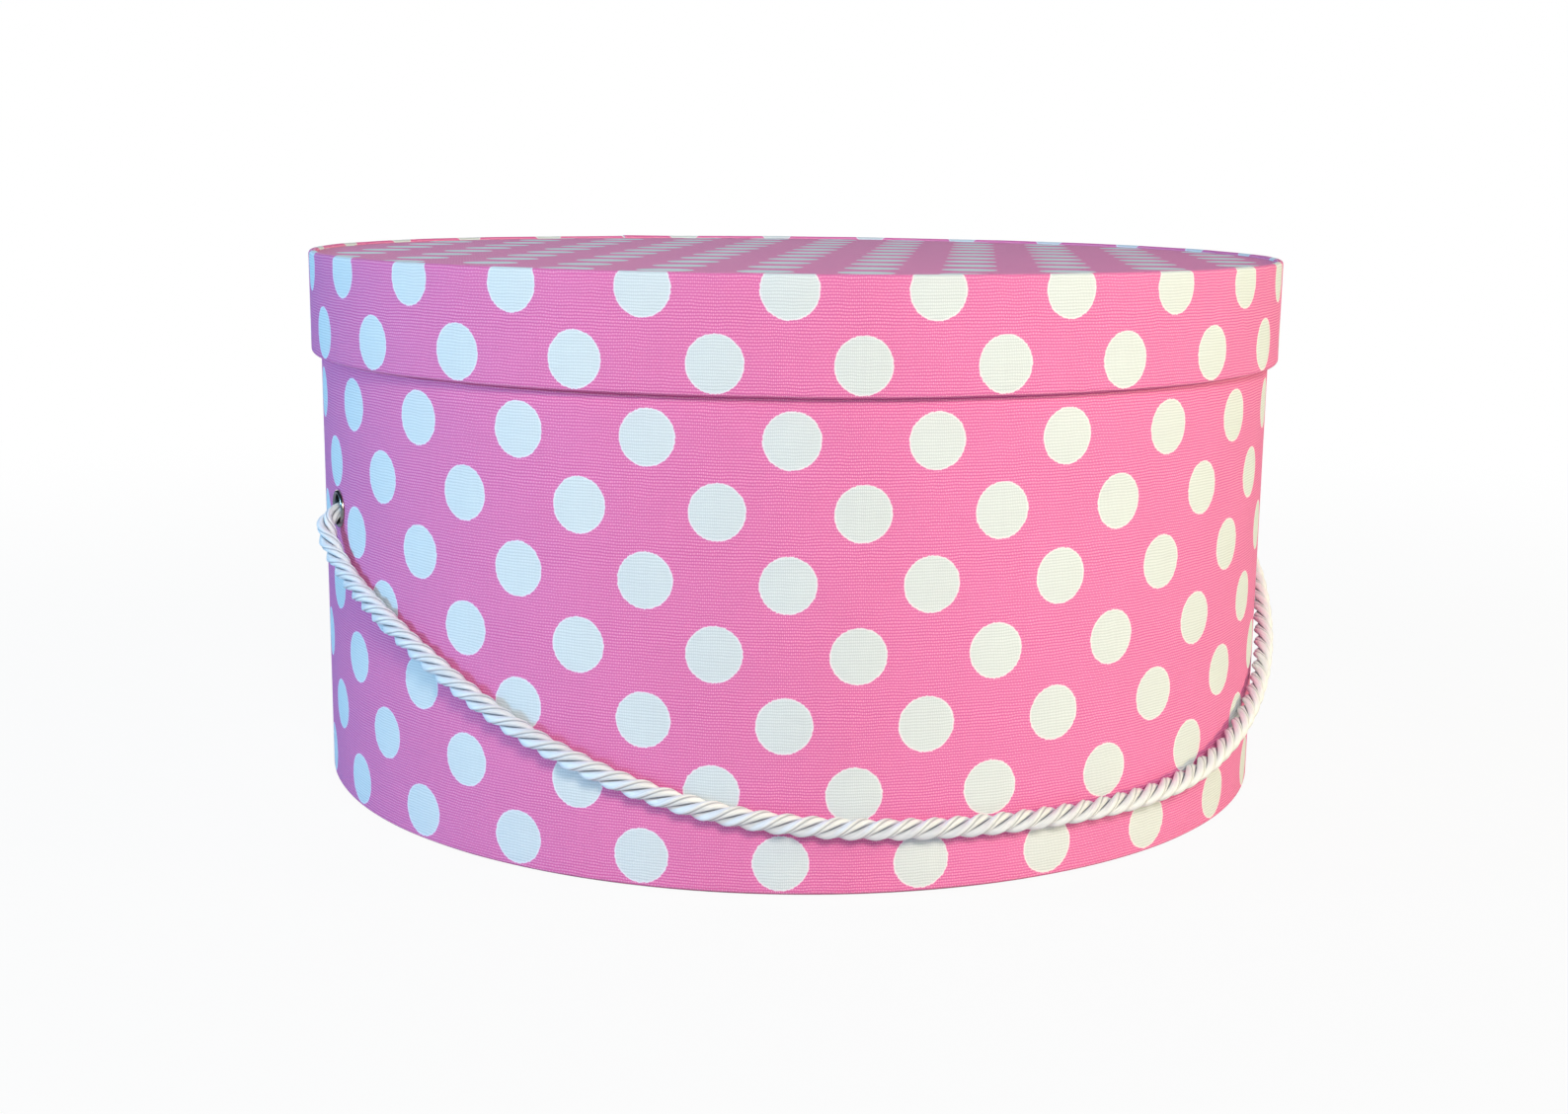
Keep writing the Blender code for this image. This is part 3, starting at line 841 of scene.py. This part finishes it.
# %% Holes for the eyelets
rod = in_scene("rod", bpy.data.meshes.new("rod"))
shape = bmesh.new()
bmesh.ops.create_cone(
    shape,
    segments=72,
    radius1=HOLE,
    radius2=HOLE,
    depth=0.45,
    cap_ends=True,
    matrix=Matrix.Translation((0, 0, EYELET_Z)) @ Matrix.Rotation(math.pi / 2, 4, "Y"),
)
shape.to_mesh(rod.data)
shape.free()
for sheet in (body_cloth, wall_paper):
    cut = sheet.modifiers.new("eyelet holes", "BOOLEAN")
    cut.operation = "DIFFERENCE"
    cut.solver = "EXACT"
    cut.object = rod
    whole_sheet = sheet.evaluated_get(bpy.context.evaluated_depsgraph_get())
    punched = bpy.data.meshes.new_from_object(whole_sheet)
    sheet.modifiers.clear()
    before = len(sheet.data.polygons)
    sheet.data = punched
    print(f"{sheet.name}: {before} faces before, {len(punched.polygons)} after punching")
bpy.data.objects.remove(rod)

# %% [markdown]
# ## Nodes shared by several materials
#
# Everything below is made with short helpers: one adds a node and joins its inputs, one does a sum,
# and one starts a group. A group only gives out masks and heights, and the materials decide what to
# do with them.

# %% Helpers for nodes
def join(tree, sockets, inputs):
    """Give each socket its number, or join it to another node's output."""
    for key, value in inputs.items():
        if isinstance(value, bpy.types.NodeSocket):
            tree.links.new(value, sockets[key])
        else:
            sockets[key].default_value = value


def add(tree, kind, inputs=None, **settings):
    """A shader node with its settings and its inputs."""
    made = tree.nodes.new(f"ShaderNode{kind}")
    for key, value in settings.items():
        setattr(made, key, value)
    join(tree, made.inputs, inputs or {})
    return made


def use(tree, group, **inputs):
    """A shared group at work in a material."""
    return add(tree, "Group", inputs, node_tree=group).outputs


def maths(tree, operation, *values):
    """The result of a sum on numbers or outputs."""
    return add(tree, "Math", dict(enumerate(values)), operation=operation).outputs[0]


def vectors(tree, operation, *values):
    """The result of a sum on vectors."""
    return add(tree, "VectorMath", dict(enumerate(values)), operation=operation).outputs[0]


def between(tree, value, low, high):
    """0 when a value is at low, 1 when it is at high, and a soft step in between."""
    inputs = {"Value": value, "From Min": low, "From Max": high}
    return add(tree, "MapRange", inputs, interpolation_type="SMOOTHSTEP").outputs[0]


def mixed(tree, share, first, second, blend="MIX"):
    """Two colours mixed."""
    inputs = {0: share, 6: first, 7: second}
    return add(tree, "Mix", inputs, data_type="RGBA", blend_type=blend).outputs[2]


def noise(tree, vector, scale=1.0, detail=2.0, roughness=0.55):
    """Soft noise between 0 and 1."""
    inputs = {"Vector": vector, "Scale": scale, "Detail": detail, "Roughness": roughness}
    return add(tree, "TexNoise", inputs).outputs[0]


def stretched(tree, vector, scale):
    """Coordinates that are stretched or squeezed by parts."""
    return vectors(tree, "MULTIPLY", vector, scale)


def shared(name, place, numbers, results):
    """A new node group that takes a place and some numbers, and gives results from 0 to 1."""
    tree = bpy.data.node_groups.new(name, "ShaderNodeTree")
    tree.interface.new_socket(place, in_out="INPUT", socket_type="NodeSocketVector")
    for way, labels in (("INPUT", numbers), ("OUTPUT", results)):
        for label in labels:
            tree.interface.new_socket(label, in_out=way, socket_type="NodeSocketFloat")
    return tree, tree.nodes.new("NodeGroupInput").outputs, tree.nodes.new("NodeGroupOutput").inputs


def srgb(red, green, blue):
    """A colour from 0-255 values."""
    def linear(c):
        return c / 12.92 if c <= 0.04045 else ((c + 0.055) / 1.055) ** 2.4
    return (*[linear(value / 255) for value in (red, green, blue)], 1.0)


print("middle grey is", round(srgb(128, 128, 128)[0], 3), "in linear light")

# %% [markdown]
# ### The printed dots
#
# Dots sit on a grid and again half a step across and up, so the nearest dot is found by wrapping
# the cloth coordinates twice. An image would blur close to, and nodes stay sharp. Real printing
# paste creeps along the threads, so the edge is moved a little in or out for every thread crossing,
# and a pale line is left where the ground colour did not quite meet the dot.

# %% Group: printed dots
DOT_ACROSS = 0.05011
DOT_UP = 0.04976
DOT_RADIUS = 0.0101
WEAVE_ACROSS = 0.00127  # two of the fine threads that run up
WEAVE_UP = 0.00213  # two of the thick threads that run across
CREEP = 0.0003  # from one thread crossing to the next
SPREAD = 0.0002  # more slowly, from one end of a dot to the other
SOFT_EDGE = 0.0002
FRINGE = 0.0007  # how far the pale line reaches into the dot


def nearest(tree, cloth, across, up, shift):
    """The vector from the nearest point of a grid, when the grid is shifted by parts of a step."""
    moved = vectors(tree, "ADD", cloth, (shift[0] * across, shift[1] * up, 0))
    return vectors(tree, "WRAP", moved, (across / 2, up / 2, 1), (-across / 2, -up / 2, -1))


def distance_of(tree, vector):
    """The length of a vector."""
    return add(tree, "VectorMath", {0: vector}, operation="LENGTH").outputs["Value"]


dots, ins, outs = shared("Printed dots", "Cloth", [], ["Dot", "Fringe"])
crossing = vectors(dots, "SNAP", ins["Cloth"], (WEAVE_ACROSS / 2, WEAVE_UP / 2, 1))
creep = add(dots, "TexWhiteNoise", {"Vector": stretched(dots, crossing, (1000, 1000, 1))})
first = distance_of(dots, nearest(dots, ins["Cloth"], DOT_ACROSS, DOT_UP, (0, 0)))
second = distance_of(dots, nearest(dots, ins["Cloth"], DOT_ACROSS, DOT_UP, (0.5, 0.5)))
edge = maths(dots, "MINIMUM", first, second)
edge = maths(dots, "MULTIPLY_ADD", creep.outputs[0], CREEP, edge)
edge = maths(dots, "MULTIPLY_ADD", noise(dots, ins["Cloth"], 500.0), SPREAD, edge)
edge = maths(dots, "SUBTRACT", edge, (CREEP + SPREAD) / 2)
join(dots, outs, {
    "Dot": between(dots, edge, DOT_RADIUS + SOFT_EDGE, DOT_RADIUS - SOFT_EDGE),
    "Fringe": between(dots, edge, DOT_RADIUS - FRINGE, DOT_RADIUS - SOFT_EDGE),
})
print("printed dots:", len(dots.nodes), "nodes")

# %% [markdown]
# ### The weave
#
# In a plain weave, every thread dives under its neighbour, so the crowns of the threads also make
# two staggered grids: one for the threads that run across, one for those that run up. Thread
# spacing is never perfect, so the coordinates are stirred first.

# %% Group: canvas weave
UP_CROWN = (0.00036, 0.00058)  # half the width and half the height of a crown
ACROSS_CROWN = (0.00044, 0.00052)
HIGHLIGHT_CROWN = (0.00030, 0.00040)
STIR = 0.0012  # how far the threads stray

weave, ins, outs = shared("Canvas weave", "Cloth", [], ["Height", "Crown", "Thread"])
stir = add(weave, "TexNoise", {"Vector": ins["Cloth"], "Scale": 120.0, "Detail": 3.0})
stir = vectors(weave, "SUBTRACT", stir.outputs["Color"], (0.5, 0.5, 0.5))
stirred = vectors(weave, "MULTIPLY_ADD", stir, (STIR, STIR, 0), ins["Cloth"])


def crown(shifts, size):
    """A rounded bump at every point of two shifted grids."""
    bumps = []
    for shift in shifts:
        step = nearest(weave, stirred, WEAVE_ACROSS, WEAVE_UP, shift)
        reach = distance_of(weave, vectors(weave, "DIVIDE", step, (*size, 1)))
        bumps.append(between(weave, reach, 1.0, 0.1))
    return maths(weave, "MAXIMUM", *bumps)


up_threads = crown(((0, 0), (0.5, 0.5)), UP_CROWN)
across_threads = crown(((0.5, 0), (0, 0.5)), ACROSS_CROWN)
# painted highlight: the canvas lightens a random share of these crowns
crown_highlights = crown(((0, 0), (0.5, 0.5)), HIGHLIGHT_CROWN)
rows = noise(weave, stretched(weave, stirred, (25, 940, 0)))
columns = noise(weave, stretched(weave, stirred, (1570, 25, 0)))
one_by_one = stretched(weave, ins["Cloth"], (1 / WEAVE_ACROSS, 2 / WEAVE_UP, 0))
uneven = noise(weave, one_by_one, detail=1.0)
join(weave, outs, {
    "Height": maths(weave, "MAXIMUM", up_threads, maths(weave, "MULTIPLY", across_threads, 0.7)),
    "Crown": maths(weave, "MULTIPLY", crown_highlights, between(weave, uneven, 0.2, 0.6)),
    "Thread": maths(weave, "MULTIPLY_ADD", rows, 0.5, maths(weave, "MULTIPLY", columns, 0.5)),
})
print("canvas weave:", len(weave.nodes), "nodes")

# %% [markdown]
# ### Wear, fibres and yarns
#
# Three more groups: a slow mottle for dye and dust, short fibres for paper and board, and fine
# yarns that run lengthwise on a strand of rope, with a mask for the shade painted in its grooves.

# %% Groups: mottle, fibres and yarns
mottle, ins, outs = shared("Mottle", "Place", ["Size"], ["Tone", "Specks"])
tone = noise(mottle, ins["Place"], ins["Size"], detail=4.0, roughness=0.6)
fine = noise(mottle, ins["Place"], maths(mottle, "MULTIPLY", ins["Size"], 30.0), roughness=0.5)
join(mottle, outs, {
    "Tone": between(mottle, tone, 0.25, 0.75),
    "Specks": between(mottle, fine, 0.62, 0.78),
})

fibres, ins, outs = shared("Paper fibres", "Paper", [], ["Height", "Flecks"])
crossed = 0.0
for turn in (0.4, 1.5, 2.6):
    inputs = {"Vector": ins["Paper"], "Rotation": (0, 0, turn), "Scale": (160, 1500, 1)}
    crossed = maths(fibres, "MAXIMUM", crossed, noise(fibres, add(fibres, "Mapping", inputs).outputs[0]))
join(fibres, outs, {
    "Height": between(fibres, crossed, 0.5, 0.8),
    "Flecks": between(fibres, crossed, 0.72, 0.82),
})

yarns, ins, outs = shared("Rope yarns", "Strand", [], ["Height", "Tone", "Groove_shade"])
threads = noise(yarns, stretched(yarns, ins["Strand"], (90, 24, 0)), detail=3.0, roughness=0.6)
hairs = noise(yarns, stretched(yarns, ins["Strand"], (220, 70, 0)))
place = maths(yarns, "FRACT", add(yarns, "SeparateXYZ", {0: ins["Strand"]}).outputs[1])
groove = maths(yarns, "ABSOLUTE", maths(yarns, "MULTIPLY_ADD", place, 2.0, -1.0))
crease = maths(yarns, "ABSOLUTE", maths(yarns, "SUBTRACT", place, CREASE[0]))
# painted shade: the grooves between strands and the crease along each strand are darkened in colour
deep = between(yarns, groove, 0.71, 0.97)
shallow = maths(yarns, "MULTIPLY", between(yarns, crease, CREASE[1] * 1.1, 0.0), 0.7)
join(yarns, outs, {
    "Height": maths(yarns, "MULTIPLY_ADD", hairs, 0.4, maths(yarns, "MULTIPLY", threads, 0.6)),
    "Tone": between(yarns, threads, 0.3, 0.7),
    "Groove_shade": maths(yarns, "MAXIMUM", deep, shallow),
})
print("groups:", ", ".join(group.name for group in bpy.data.node_groups))

# %% [markdown]
# ## Materials
#
# Each finish in the record gets one material. What is the same all over is set on the material's own
# shader, and what changes over the surface is joined to it.

# %% Helper for a material
def finish(name, **constants):
    """A new material with its tree and its shader."""
    material = bpy.data.materials.new(name)
    material.use_nodes = True
    tree = material.node_tree
    shader = tree.nodes["Principled BSDF"]
    for key, value in constants.items():
        shader.inputs[key.replace("_", " ")].default_value = value
    return material, tree, shader.inputs


def relief(tree, height, distance, strength=1.0):
    """A bump from a height between 0 and 1."""
    inputs = {"Height": height, "Distance": distance, "Strength": strength}
    return add(tree, "Bump", inputs).outputs[0]


def on_cloth(tree):
    """Coordinates on the flat sheet."""
    return add(tree, "UVMap", uv_map="cloth").outputs[0]


def in_object(tree):
    """Coordinates in the object."""
    return add(tree, "TexCoord").outputs["Object"]


print("material helpers ready")

# %% [markdown]
# ### Printed canvas
#
# The ground is a strong pink, with painted shade in the gaps between the threads and a painted
# highlight on some thread crowns. The dots are nearly white, a little darker between threads as
# painted shade, and hardly show the weave.

# %% Material: dotted canvas
PINK = srgb(247, 149, 196)
PINK_SHADE_BETWEEN_THREADS = srgb(222, 105, 166)
CROWN_HIGHLIGHT = srgb(255, 190, 222)
DOT_WHITE = srgb(230, 236, 238)
DOT_SHADE_BETWEEN_THREADS = srgb(207, 214, 217)
FRINGE_WHITE = srgb(240, 238, 243)
SHADE = (0.82, 0.78, 0.82, 1)  # what the dyed threads and dust take away

canvas, tree, shader = finish(
    "dotted canvas", Roughness=0.88, Specular_IOR_Level=0.2, Sheen_Weight=0.05, Sheen_Roughness=0.5
)
cloth = on_cloth(tree)
spots = use(tree, dots, Cloth=cloth)
woven = use(tree, weave, Cloth=cloth)
worn = use(tree, mottle, Place=cloth, Size=30.0)
# painted shade: the pink is darker in the low gaps between the threads
ground = mixed(tree, between(tree, woven["Height"], 0.0, 0.6), PINK_SHADE_BETWEEN_THREADS, PINK)
# painted highlight: a random share of the thread crowns is lighter pink
ground = mixed(tree, maths(tree, "MULTIPLY", woven["Crown"], 0.75), ground, CROWN_HIGHLIGHT)
# painted shade: the dots' white is darker in the low gaps between the threads
white = mixed(tree, between(tree, woven["Height"], 0.0, 0.5), DOT_SHADE_BETWEEN_THREADS, DOT_WHITE)
white = mixed(tree, spots["Fringe"], white, FRINGE_WHITE)
printed = mixed(tree, spots["Dot"], ground, white)
threads = between(tree, woven["Thread"], 0.35, 0.65)
shade = maths(tree, "MULTIPLY_ADD", threads, 0.5, maths(tree, "MULTIPLY", worn["Tone"], 0.5))
shaded = mixed(tree, 1.0, printed, SHADE, "MULTIPLY")
printed = mixed(tree, maths(tree, "MULTIPLY", shade, 0.3), printed, shaded)
paste = maths(tree, "MULTIPLY_ADD", spots["Dot"], -0.35, 1.0)
depth = maths(tree, "MULTIPLY", woven["Height"], paste)
join(tree, shader, {"Base Color": printed, "Normal": relief(tree, depth, 0.00014, 0.8)})
print("dotted canvas:", len(tree.nodes), "nodes")

# %% [markdown]
# ### Paper, board and tape
#
# The lining paper, the grey board and the brown gummed tape are all felted from fibres, so one
# function makes the three. Fibres that lie in three directions are cheaper as stretched noise than
# as geometry, and they have no edge and no repeat as an image would.

# %% Materials: paper, board and tape
MARKED = {"Specks": 0.6, "Flecks": 0.5}  # how strongly they are coloured


def felted(name, roughness, shine, where, size, marks, depth, colours):
    """A fibrous material with two tones and a colour for its specks or its fibres' flecks."""
    material, tree, shader = finish(name, Roughness=roughness, Specular_IOR_Level=shine)
    place = where(tree)
    fibre = use(tree, fibres, Paper=place)
    worn = use(tree, mottle, Place=place, Size=size)
    first, second, marked = [srgb(*colour) for colour in colours]
    amount = worn["Specks"] if marks == "Specks" else fibre["Flecks"]
    amount = maths(tree, "MULTIPLY", amount, MARKED[marks])
    colour = mixed(tree, amount, mixed(tree, worn["Tone"], first, second), marked)
    join(tree, shader, {"Base Color": colour, "Normal": relief(tree, fibre["Height"], *depth)})
    print(f"{name}: {len(tree.nodes)} nodes")
    return material


paper = felted(
    "ivory lining paper", 0.82, 0.3, on_cloth, 18.0, "Flecks", (0.00004, 0.7),
    [(236, 229, 214), (228, 220, 203), (212, 200, 178)],
)
board = felted(
    "grey board", 0.9, 0.2, in_object, 40.0, "Specks", (0.00006, 0.8),
    [(158, 154, 146), (142, 138, 131), (98, 95, 92)],
)
tape = felted(
    "gummed tape", 0.7, 0.35, in_object, 50.0, "Flecks", (0.00004, 0.8),
    [(196, 160, 116), (180, 143, 101), (150, 114, 78)],
)

# %% [markdown]
# ### Rope and thread
#
# Satin rope shines softly. The yarns make long fine lines on each strand, and the grooves between
# strands and the crease along each strand are painted darker as shade. Yarns as geometry would be
# far too many, so they are a relief.

# %% Materials: rope and thread
satin, tree, shader = finish(
    "white satin rope", Roughness=0.38, Specular_IOR_Level=0.5, Sheen_Weight=0.08, Sheen_Roughness=0.4
)
spun = use(tree, yarns, Strand=on_cloth(tree))
colour = mixed(tree, spun["Tone"], srgb(224, 227, 233), srgb(246, 246, 248))
# painted shade: the grooves and creases are mixed towards a dark grey-blue
colour = mixed(tree, maths(tree, "MULTIPLY", spun["Groove_shade"], 0.9), colour, srgb(112, 115, 134))
join(tree, shader, {"Base Color": colour, "Normal": relief(tree, spun["Height"], 0.00035, 1.0)})

thread, tree, shader = finish("binding thread", Roughness=0.5, Specular_IOR_Level=0.45, Sheen_Weight=0.3)
twist = noise(tree, stretched(tree, on_cloth(tree), (2500, 900, 1)))
colour = mixed(tree, between(tree, twist, 0.3, 0.7), srgb(226, 224, 226), srgb(244, 243, 244))
join(tree, shader, {"Base Color": colour, "Normal": relief(tree, twist, 0.00008, 0.7)})
print("rope and thread ready")

# %% [markdown]
# ### Nickel
#
# The eyelets are pressed metal with a nickel plate, which is a soft mirror with fine scratches. The
# scratches hardly show as relief, so they mostly make the shine rougher.

# %% Material: nickel
nickel, tree, shader = finish("nickel plate", Metallic=1.0)
place = in_object(tree)
worn = use(tree, mottle, Place=place, Size=300.0)
scratch = noise(tree, stretched(tree, place, (900, 4200, 500)), detail=3.0)
rough = maths(tree, "MULTIPLY_ADD", worn["Tone"], 0.12, 0.14)
join(tree, shader, {
    "Base Color": mixed(tree, worn["Tone"], srgb(176, 170, 164), srgb(150, 145, 140)),
    "Roughness": maths(tree, "MULTIPLY_ADD", between(tree, scratch, 0.55, 0.75), 0.12, rough),
    "Normal": relief(tree, scratch, 0.00001, 0.5),
})
print("nickel plate:", len(tree.nodes), "nodes")

# %% [markdown]
# ## Putting the materials on
#
# The pieces made here take their material from their finish. The boards and tapes are still CAD
# nodes, and those only get a new material in the slot that they already have.

# %% Materials on every piece
LOOKS = {
    "dotted_canvas": canvas,
    "grey_board": board,
    "ivory_lining": paper,
    "gummed_tape": tape,
    "nickel": nickel,
    "satin_cord": satin,
    "cord_wrap": thread,
}
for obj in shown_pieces():
    look = LOOKS[obj.get("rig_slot", "gummed_tape" if "tape" in obj.name else "grey_board")]
    if obj.material_slots:
        obj.material_slots[0].material = look
    else:
        obj.data.materials.append(look)

# %% [markdown]
# ## Length of the rope
#
# The rope is a free cord, and the three pieces of cloth were flat before they were glued down. Only
# the rope's length is printed here: what the maker has to cut.

# %% What the maker cuts
print(f"handle rope {handle_length:.3f} m")

# %% [markdown]
# ## Floor
#
# The box stands on a plain white floor that fades into a white surround. The floor takes shadows,
# but to the camera it also glows, so that it stays white without light strong enough to bleach the
# cloth. Further away the glow takes over and no edge shows.

# %% Floor
FLOOR_GLOW = 0.94
FLOOR_RADIUS = 6.0

floor_mesh = bpy.data.meshes.new("floor")
flat = bmesh.new()
bmesh.ops.create_circle(flat, cap_ends=True, segments=96, radius=FLOOR_RADIUS)
flat.to_mesh(floor_mesh)
flat.free()
in_scene("floor", floor_mesh)

floor_material, tree, shader = finish("studio floor", Roughness=0.9, Specular_IOR_Level=0.1)
place = in_object(tree)
far = between(tree, distance_of(tree, place), 0.3, 1.2)
glowing = maths(tree, "MULTIPLY_ADD", far, 1 - FLOOR_GLOW, FLOOR_GLOW)
grain = use(tree, mottle, Place=place, Size=60.0)
tone = mixed(tree, grain["Tone"], (0.60, 0.60, 0.60, 1), (0.56, 0.56, 0.56, 1))
join(tree, shader, {"Base Color": tone})
seen = add(tree, "LightPath").outputs["Is Camera Ray"]
glow = add(tree, "Emission", {"Color": (1, 1, 1, 1), "Strength": 1.0}).outputs[0]
surface = tree.nodes["Principled BSDF"].outputs[0]
blend = add(tree, "MixShader", {0: maths(tree, "MULTIPLY", glowing, seen), 1: surface, 2: glow})
join(tree, tree.nodes["Material Output"].inputs, {"Surface": blend.outputs[0]})
floor_mesh.materials.append(floor_material)
print("floor", 2 * FLOOR_RADIUS, "m across")

# %% [markdown]
# ## Light
#
# A small cool light on the left and a small warm one on the right turn the same pink towards violet
# on one side and towards salmon on the other. One small and one broad light in front draw a soft
# shine down the middle, and a broad one behind keeps the back from going dark. The surround is white
# to the camera, weak and bluish to the cloth, and nearly dark to the nickel and the satin.

# %% Lights
LIGHTS = {  # degrees round from the front and up, distance and size in metres, watts, colour
    "cool light on the left": (-104, 12, 2.0, 0.3, 24.5, (0.27, 0.65, 1.0)),
    "warm light on the right": (52, 12, 2.0, 0.45, 21.5, (1.0, 0.85, 0.41)),
    "small light in front": (-12, 29, 2.2, 0.45, 24.8, (1.0, 0.89, 0.72)),
    "broad light in front": (-30, 22, 2.2, 1.2, 12.5, (0.87, 0.92, 0.87)),
    "broad light behind": (165, 10, 2.2, 1.6, 24.0, (1.0, 0.93, 0.86)),
}
for name, (round_to, above, away, size, watts, colour) in LIGHTS.items():
    data = bpy.data.lights.new(name, "AREA")
    data.shape = "DISK"
    data.size = size
    data.energy = watts
    data.color = colour
    turn, tilt = math.radians(round_to), math.radians(above)
    level = math.cos(tilt)
    aim = Vector((math.sin(turn) * level, -math.cos(turn) * level, math.sin(tilt)))
    lamp = in_scene(name, data)
    lamp.location = Vector((0, 0, LID_TOP / 2)) + away * aim
    lamp.rotation_euler = aim.to_track_quat("Z", "Y").to_euler()
print("lights:", ", ".join(LIGHTS))

# %% Surround
world = bpy.data.worlds.new("surround")
bpy.context.scene.world = world
world.use_nodes = True
tree = world.node_tree
sky = tree.nodes["Background"]
join(tree, sky.inputs, {"Color": (0.19, 0.53, 1.0, 1), "Strength": 0.24})
dark_room = add(tree, "Background", {"Color": (0.5, 0.7, 1.0, 1), "Strength": 0.06}).outputs[0]
backdrop = add(tree, "Background", {"Color": (1, 1, 1, 1), "Strength": 1.0}).outputs[0]
rays = add(tree, "LightPath").outputs
mirrored = add(tree, "MixShader", {0: rays["Is Glossy Ray"], 1: sky.outputs[0], 2: dark_room})
either = add(tree, "MixShader", {0: rays["Is Camera Ray"], 1: mirrored.outputs[0], 2: backdrop})
join(tree, tree.nodes["World Output"].inputs, {"Surface": either.outputs[0]})
bpy.context.scene.view_settings.view_transform = "Standard"
print("surround:", len(tree.nodes), "nodes")
